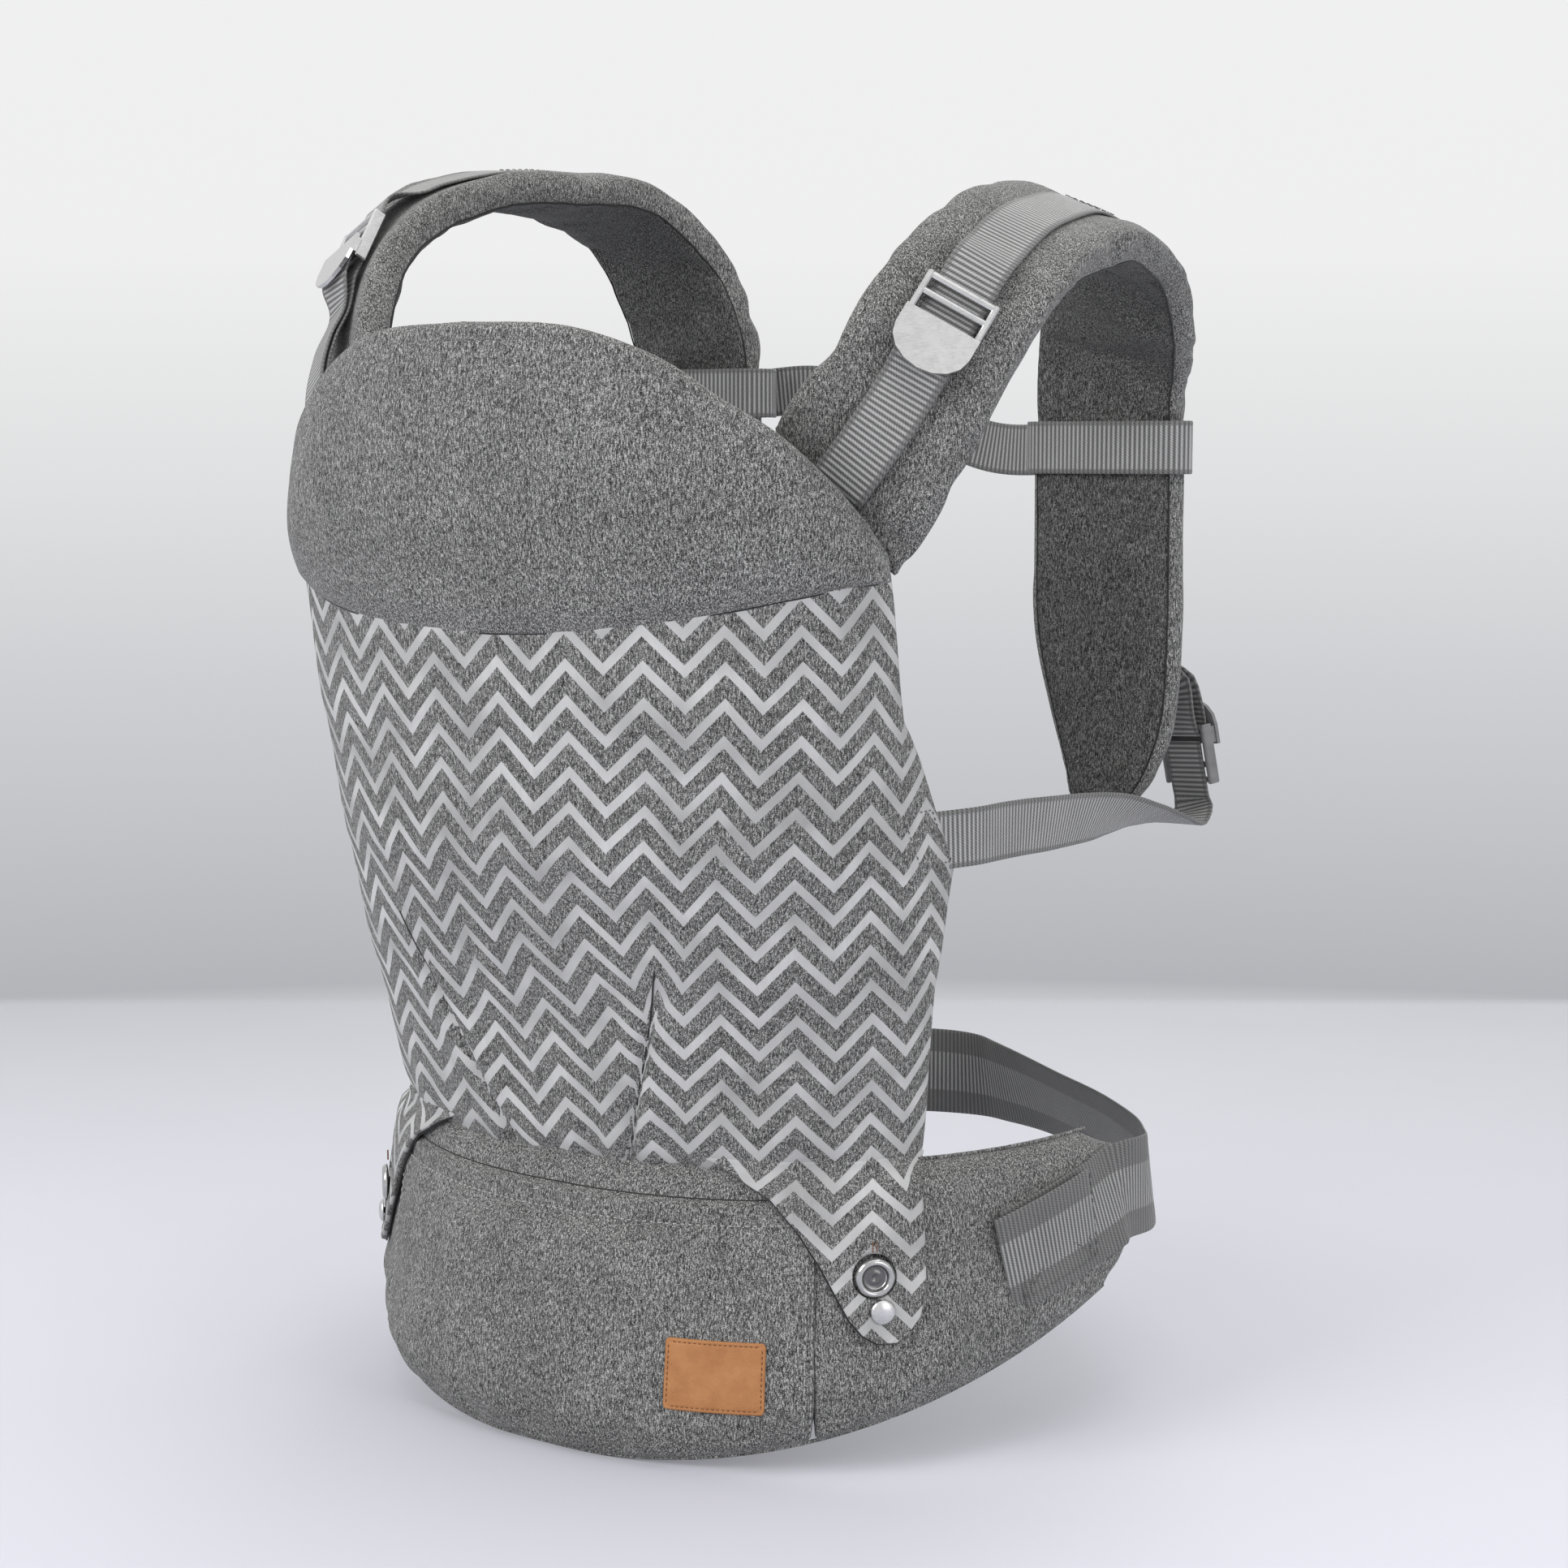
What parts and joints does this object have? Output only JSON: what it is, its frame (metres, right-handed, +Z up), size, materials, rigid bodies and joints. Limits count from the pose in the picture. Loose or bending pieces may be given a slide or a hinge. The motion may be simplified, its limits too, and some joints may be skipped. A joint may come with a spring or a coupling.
{
  "type": "soft baby carrier",
  "caption": "Soft baby carrier worn on the front: padded waist belt, shaped child panel with a hood, padded shoulder straps, chest strap and side-release buckles.",
  "frame": {"origin": "on the vertical line through the middle of the wearer's waist loop, at the height of the belt's lowest point", "axes": "+Z up, +X towards the wearer's left, -Y to the front, where the child's panel is"},
  "size_m": [0.3946, 0.3932, 0.5743],
  "materials": {
    "melange_fabric": "grey melange weave, matt",
    "chevron_fabric": "grey melange weave with paler satin zigzag bands",
    "lining_fabric": "dark plain weave, matt",
    "foam": "soft padding, out of sight",
    "webbing": "ribbed grey webbing",
    "plastic": "dark grey moulded plastic",
    "steel": "satin plated steel",
    "leather": "tan leather, blank"
  },
  "bodies": {
    "carrier": {"belt_cover_front": "melange_fabric", "belt_cover_left": "melange_fabric", "belt_cover_right": "melange_fabric", "belt_foam_front": "foam", "belt_foam_left": "foam", "belt_foam_right": "foam", "belt_label": "leather", "head_support_lining": "lining_fabric", "head_support_outer": "melange_fabric", "lower_webbing_left": "webbing", "lower_webbing_right": "webbing", "panel_lining": "lining_fabric", "panel_outer": "chevron_fabric", "seat_button_left": "steel", "seat_button_right": "steel", "shoulder_pad_cover_left": "melange_fabric", "shoulder_pad_cover_right": "melange_fabric", "shoulder_pad_foam_left": "foam", "shoulder_pad_foam_right": "foam", "shoulder_webbing_lower_left": "webbing", "shoulder_webbing_lower_right": "webbing", "shoulder_webbing_upper_left": "webbing", "shoulder_webbing_upper_right": "webbing", "side_webbing_left": "webbing", "side_webbing_right": "webbing", "waist_buckle_socket": "plastic", "waist_webbing_left": "webbing", "waist_webbing_right": "webbing"},
    "chest_strap": {"chest_webbing_left": "webbing", "chest_webbing_right": "webbing", "chest_buckle_socket": "plastic"},
    "chest_plug": {"chest_buckle_plug": "plastic"},
    "chest_tab_upper": {"chest_buckle_tab_upper": "plastic"},
    "chest_tab_lower": {"chest_buckle_tab_lower": "plastic"},
    "waist_plug": {"waist_buckle_plug": "plastic"},
    "waist_tab_upper": {"waist_buckle_tab_upper": "plastic"},
    "waist_tab_lower": {"waist_buckle_tab_lower": "plastic"},
    "shoulder_lock_left": {"shoulder_adjuster_left": "steel"},
    "shoulder_lock_right": {"shoulder_adjuster_right": "steel"},
    "lower_lock_left": {"lower_adjuster_left": "plastic"},
    "lower_lock_right": {"lower_adjuster_right": "plastic"},
    "flap_left": {"flap_left": "chevron_fabric", "flap_rivet_left": "steel"},
    "flap_right": {"flap_right": "chevron_fabric", "flap_rivet_right": "steel"}
  },
  "joints": [
    {"name": "chest_strap_height", "type": "slide", "parent": "carrier", "child": "chest_strap", "axis": [0, 0, 1], "range_m": [-0.04, 0.004]},
    {"name": "chest_plug_slide", "type": "slide", "parent": "chest_strap", "child": "chest_plug", "axis": [0.9598, -0.02, -0.2799], "range_m": [0, 0.024]},
    {"name": "chest_tab_upper_press", "type": "slide", "parent": "chest_plug", "child": "chest_tab_upper", "axis": [-0.2799, 0.0056, -0.96], "range_m": [0, 0.0017], "stiffness_N_per_m": 300},
    {"name": "chest_tab_lower_press", "type": "slide", "parent": "chest_plug", "child": "chest_tab_lower", "axis": [0.2799, -0.0056, 0.96], "range_m": [0, 0.0017], "stiffness_N_per_m": 300},
    {"name": "waist_plug_slide", "type": "slide", "parent": "carrier", "child": "waist_plug", "axis": [0.9152, 0.4031, 0], "range_m": [0, 0.041]},
    {"name": "waist_tab_upper_press", "type": "slide", "parent": "waist_plug", "child": "waist_tab_upper", "axis": [0, 0, -1], "range_m": [0, 0.003], "stiffness_N_per_m": 400},
    {"name": "waist_tab_lower_press", "type": "slide", "parent": "waist_plug", "child": "waist_tab_lower", "axis": [0, 0, 1], "range_m": [0, 0.003], "stiffness_N_per_m": 400},
    {"name": "shoulder_lock_left_slide", "type": "slide", "parent": "carrier", "child": "shoulder_lock_left", "axis": [-0.2387, -0.5302, -0.8136], "range_m": [0, 0.006]},
    {"name": "shoulder_lock_right_slide", "type": "slide", "parent": "carrier", "child": "shoulder_lock_right", "axis": [0.1014, -0.6224, -0.7761], "range_m": [0, 0.006]},
    {"name": "lower_lock_left_slide", "type": "slide", "parent": "carrier", "child": "lower_lock_left", "axis": [-0.128, -0.1182, 0.9847], "range_m": [0, 0.006]},
    {"name": "lower_lock_right_slide", "type": "slide", "parent": "carrier", "child": "lower_lock_right", "axis": [0.128, -0.1182, 0.9847], "range_m": [0, 0.006]},
    {"name": "flap_left_hinge", "type": "hinge", "parent": "carrier", "child": "flap_left", "pos_m": [0.11346, -0.15084, 0.1343], "axis": [-0.7979, -0.6028, 0], "range_deg": [0, 30]},
    {"name": "flap_right_hinge", "type": "hinge", "parent": "carrier", "child": "flap_right", "pos_m": [-0.11346, -0.15084, 0.1343], "axis": [-0.7979, 0.6028, 0], "range_deg": [0, 30]}
  ],
  "couplings": [
    {"joint": "chest_tab_lower_press", "follows": "chest_tab_upper_press", "ratio": 1},
    {"joint": "waist_tab_lower_press", "follows": "waist_tab_upper_press", "ratio": 1}
  ]
}
